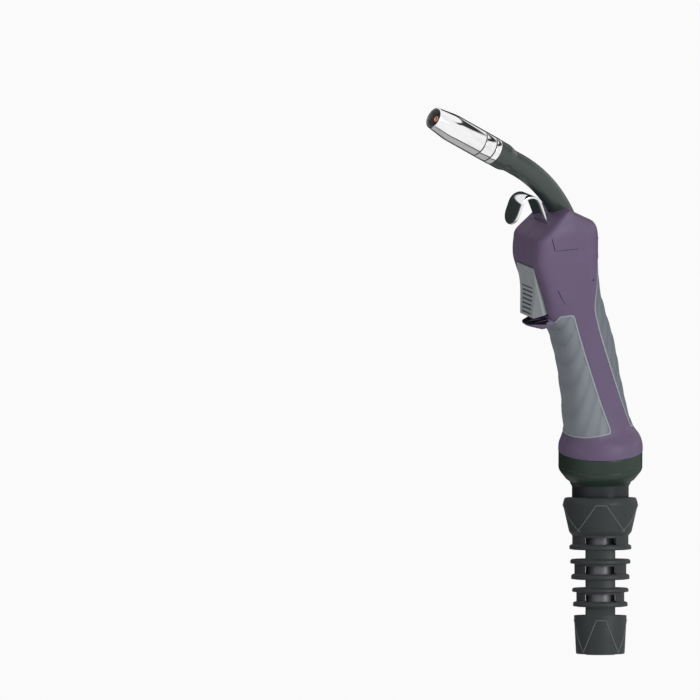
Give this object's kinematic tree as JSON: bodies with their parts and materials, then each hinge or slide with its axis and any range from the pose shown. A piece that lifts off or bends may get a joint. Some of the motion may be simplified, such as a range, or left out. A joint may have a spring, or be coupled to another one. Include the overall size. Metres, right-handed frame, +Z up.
{
  "type": "mig welding torch",
  "caption": "MIG welding torch: split pistol handle, bent neck with gas nozzle and contact tip, trigger, hanging hook, ball knuckle and slotted cable support.",
  "frame": {"origin": "centre of the knuckle ball, on the axis of the cable bore", "axes": "+Z up the cable's exit axis into the handle, the trigger faces -X, the torch's left side faces -Y"},
  "size_m": [0.1598, 0.0698, 0.3809],
  "materials": {
    "shell_plastic": "fine moulded texture, violet-grey",
    "soft_grip": "satin soft-touch, mid grey",
    "trigger_plastic": "satin, mid grey",
    "zinc_steel": "zinc plated",
    "black_plastic": "matte, near black",
    "hook_chrome": "bright, slightly brushed",
    "neck_cover": "satin, dark green-grey",
    "insulation": "matte, cream",
    "copper": "drawn copper",
    "brass": "turned",
    "liner_steel": "drawn",
    "seal_rubber": "satin black",
    "spring_steel": "drawn wire",
    "nozzle_chrome": "bright plating, faint turning marks",
    "bush_plastic": "pressed fibre, brown",
    "switch_plastic": "matte, black",
    "plunger_red": "satin red",
    "collar_plastic": "satin, dark green-grey",
    "ring_plastic": "smooth, off-white",
    "ball_plastic": "satin, dark grey",
    "support_rubber": "matte charcoal",
    "sleeve_plastic": "matte, dark grey"
  },
  "bodies": {
    "handle": {"handle_left": "shell_plastic", "handle_right": "shell_plastic", "upper_grip_left": "soft_grip", "upper_grip_right": "soft_grip", "lower_grip_left": "soft_grip", "lower_grip_right": "soft_grip", "housing_screws": "zinc_steel", "neck_saddle": "black_plastic", "hanging_hook": "hook_chrome", "neck_jacket": "neck_cover", "neck_insulation": "insulation", "neck_conductor": "copper", "wire_liner": "liner_steel", "neck_union": "brass", "union_o_ring": "seal_rubber", "tip_holder": "brass", "nozzle_spring": "spring_steel", "trigger_pin": "zinc_steel", "trigger_spring": "spring_steel", "switch_body": "switch_plastic", "switch_terminals": "brass", "rear_collar": "collar_plastic", "knuckle_housing": "black_plastic"},
    "nozzle": {"gas_nozzle": "nozzle_chrome", "nozzle_bush": "bush_plastic"},
    "tip": {"contact_tip": "copper"},
    "trigger": {"trigger": "trigger_plastic"},
    "plunger": {"switch_plunger": "plunger_red"},
    "swivel": {"swivel_ring": "ring_plastic"},
    "support": {"knuckle_ball": "ball_plastic", "support_body": "support_rubber", "support_sleeve": "sleeve_plastic"}
  },
  "joints": [
    {"name": "nozzle_pull", "type": "slide", "parent": "handle", "child": "nozzle", "axis": [-0.848, 0, 0.5299], "range_m": [0, 0.06]},
    {"name": "tip_pull", "type": "slide", "parent": "handle", "child": "tip", "axis": [-0.848, 0, 0.5299], "range_m": [0, 0.03]},
    {"name": "trigger_pull", "type": "hinge", "parent": "handle", "child": "trigger", "pos_m": [-0.05067, 0, 0.1412], "axis": [0, -1, 0], "range_deg": [0, 6], "stiffness_Nm_per_rad": 0.4, "springref_deg": -8.59, "deforming": ["trigger_spring"]},
    {"name": "switch_press", "type": "slide", "parent": "handle", "child": "plunger", "axis": [0.9659, 0, 0.2588], "range_m": [0, 0.002]},
    {"name": "knuckle_swivel", "type": "hinge", "parent": "handle", "child": "swivel", "pos_m": [0, 0, 0], "axis": [0, 0, 1], "continuous": true},
    {"name": "knuckle_tilt", "type": "hinge", "parent": "swivel", "child": "support", "pos_m": [0, 0, 0], "axis": [0.8572, -0.515, 0], "range_deg": [0, 30]}
  ],
  "couplings": [
    {"joint": "switch_press", "follows": "trigger_pull", "m_per_rad": 0.0185}
  ]
}
